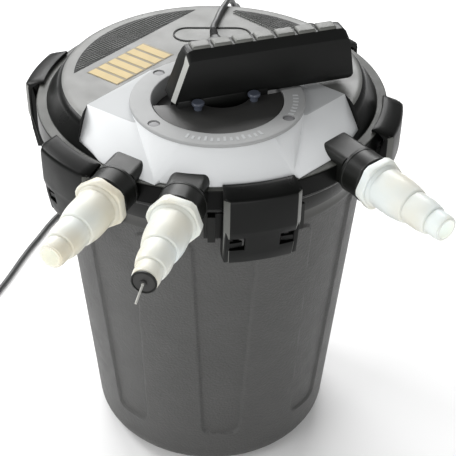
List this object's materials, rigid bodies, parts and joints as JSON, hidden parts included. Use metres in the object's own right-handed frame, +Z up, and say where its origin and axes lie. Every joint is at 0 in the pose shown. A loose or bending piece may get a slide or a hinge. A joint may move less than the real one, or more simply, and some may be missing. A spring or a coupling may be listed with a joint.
{
  "type": "pressurized pond filter",
  "caption": "Pressurised pond filter: tapered grey vessel, black lid held by hinged latches, light grey valve cover with a bladed selector handle, stepped hose tails and a UV-C lamp",
  "frame": {"origin": "centre of the vessel's base on the ground", "axes": "+Z up along the vessel's axis, -Y towards the selector valve, +X to the right seen from the valve side"},
  "size_m": [0.6076, 0.7206, 0.5045],
  "materials": {
    "housing_black": "fine grain",
    "vessel_grey": "coarse spark-eroded grain",
    "cover_grey": "satin",
    "dial_black": "satin",
    "handle_black": "satin-gloss",
    "grip_grey": "soft matt",
    "vent_grey": "ribbed",
    "label_film": "printed film",
    "tail_milky": "translucent natural polymer",
    "button_slate": "smooth",
    "screw_grey": "smooth",
    "pin_steel": "drawn",
    "seal_rubber": "moulded",
    "pull_wire": "drawn",
    "quartz": "clear",
    "lamp_white": "frosted",
    "foam_blue": "open-cell foam",
    "foam_red": "open-cell foam",
    "media_black": "moulded",
    "cord_sheath": "extruded sheath",
    "plug_black": "moulded"
  },
  "bodies": {
    "housing": {"vessel": "vessel_grey", "rim_collar": "housing_black", "latch_brackets": "housing_black", "latch_pins": "pin_steel", "lid": "housing_black", "lid_seal": "seal_rubber", "vent_panels": "vent_grey", "label_plate": "label_film", "badge_plate": "vent_grey", "valve_cover": "cover_grey", "dial_ring": "cover_grey", "cover_screws": "screw_grey", "valve_body": "housing_black", "port_gaskets": "seal_rubber", "tail_left": "tail_milky", "tail_middle": "tail_milky", "tail_right": "tail_milky", "end_plug": "housing_black", "plug_pull": "pull_wire", "lamp_holder": "housing_black", "sleeve_seal": "seal_rubber", "quartz_sleeve": "quartz", "uvc_lamp": "lamp_white", "lamp_guard": "media_black", "inlet_tube": "media_black", "foam_coarse": "foam_blue", "foam_fine": "foam_red", "media_basket": "media_black", "media_balls": "media_black", "base_grid": "media_black", "cable_gland": "housing_black", "strain_relief": "seal_rubber", "cord": "cord_sheath", "cord_coil": "cord_sheath", "cord_end": "cord_sheath", "coil_tie": "seal_rubber", "mains_plug": "plug_black"},
    "selector": {"dial": "dial_black", "handle": "handle_black", "handle_grips": "grip_grey", "valve_rotor": "media_black"},
    "button_left": {"lock_button_left": "button_slate"},
    "button_right": {"lock_button_right": "button_slate"},
    "nut_left": {"nut_left": "housing_black"},
    "nut_middle": {"nut_middle": "housing_black"},
    "nut_right": {"nut_right": "housing_black"},
    "latch_1": {"latch_1": "housing_black"},
    "latch_2": {"latch_2": "housing_black"},
    "latch_3": {"latch_3": "housing_black"},
    "latch_4": {"latch_4": "housing_black"},
    "latch_5": {"latch_5": "housing_black"},
    "latch_6": {"latch_6": "housing_black"}
  },
  "joints": [
    {"name": "selector_turn", "type": "hinge", "parent": "housing", "child": "selector", "pos_m": [0, -0.064, 0.435], "axis": [0, 0, 1], "range_deg": [-180, 0]},
    {"name": "button_left_press", "type": "slide", "parent": "selector", "child": "button_left", "axis": [0, 0, -1], "range_m": [0, 0.0035], "stiffness_N_per_m": 400},
    {"name": "button_right_press", "type": "slide", "parent": "selector", "child": "button_right", "axis": [0, 0, -1], "range_m": [0, 0.0035], "stiffness_N_per_m": 400},
    {"name": "nut_left_turn", "type": "hinge", "parent": "housing", "child": "nut_left", "pos_m": [-0.1085, -0.16478, 0.409], "axis": [-0.5, -0.866, 0], "range_deg": [0, 720]},
    {"name": "nut_middle_turn", "type": "hinge", "parent": "housing", "child": "nut_middle", "pos_m": [-0.04589, -0.19603, 0.409], "axis": [-0.342, -0.9397, 0], "range_deg": [0, 720]},
    {"name": "nut_right_turn", "type": "hinge", "parent": "housing", "child": "nut_right", "pos_m": [0.13324, -0.15443, 0.409], "axis": [0.515, -0.8572, 0], "range_deg": [0, 720]},
    {"name": "latch_1_swing", "type": "hinge", "parent": "housing", "child": "latch_1", "pos_m": [0.02905, -0.17359, 0.347], "axis": [0.9863, 0.165, 0], "range_deg": [0, 100]},
    {"name": "latch_2_swing", "type": "hinge", "parent": "housing", "child": "latch_2", "pos_m": [0.16485, -0.06164, 0.347], "axis": [0.3502, 0.9367, 0], "range_deg": [0, 100]},
    {"name": "latch_3_swing", "type": "hinge", "parent": "housing", "child": "latch_3", "pos_m": [0.13581, 0.11195, 0.347], "axis": [-0.6361, 0.7716, 0], "range_deg": [0, 100]},
    {"name": "latch_4_swing", "type": "hinge", "parent": "housing", "child": "latch_4", "pos_m": [-0.02905, 0.17359, 0.347], "axis": [-0.9863, -0.165, 0], "range_deg": [0, 100]},
    {"name": "latch_5_swing", "type": "hinge", "parent": "housing", "child": "latch_5", "pos_m": [-0.16485, 0.06164, 0.347], "axis": [-0.3502, -0.9367, 0], "range_deg": [0, 100]},
    {"name": "latch_6_swing", "type": "hinge", "parent": "housing", "child": "latch_6", "pos_m": [-0.13963, -0.10714, 0.347], "axis": [0.6088, -0.7934, 0], "range_deg": [0, 100]}
  ]
}
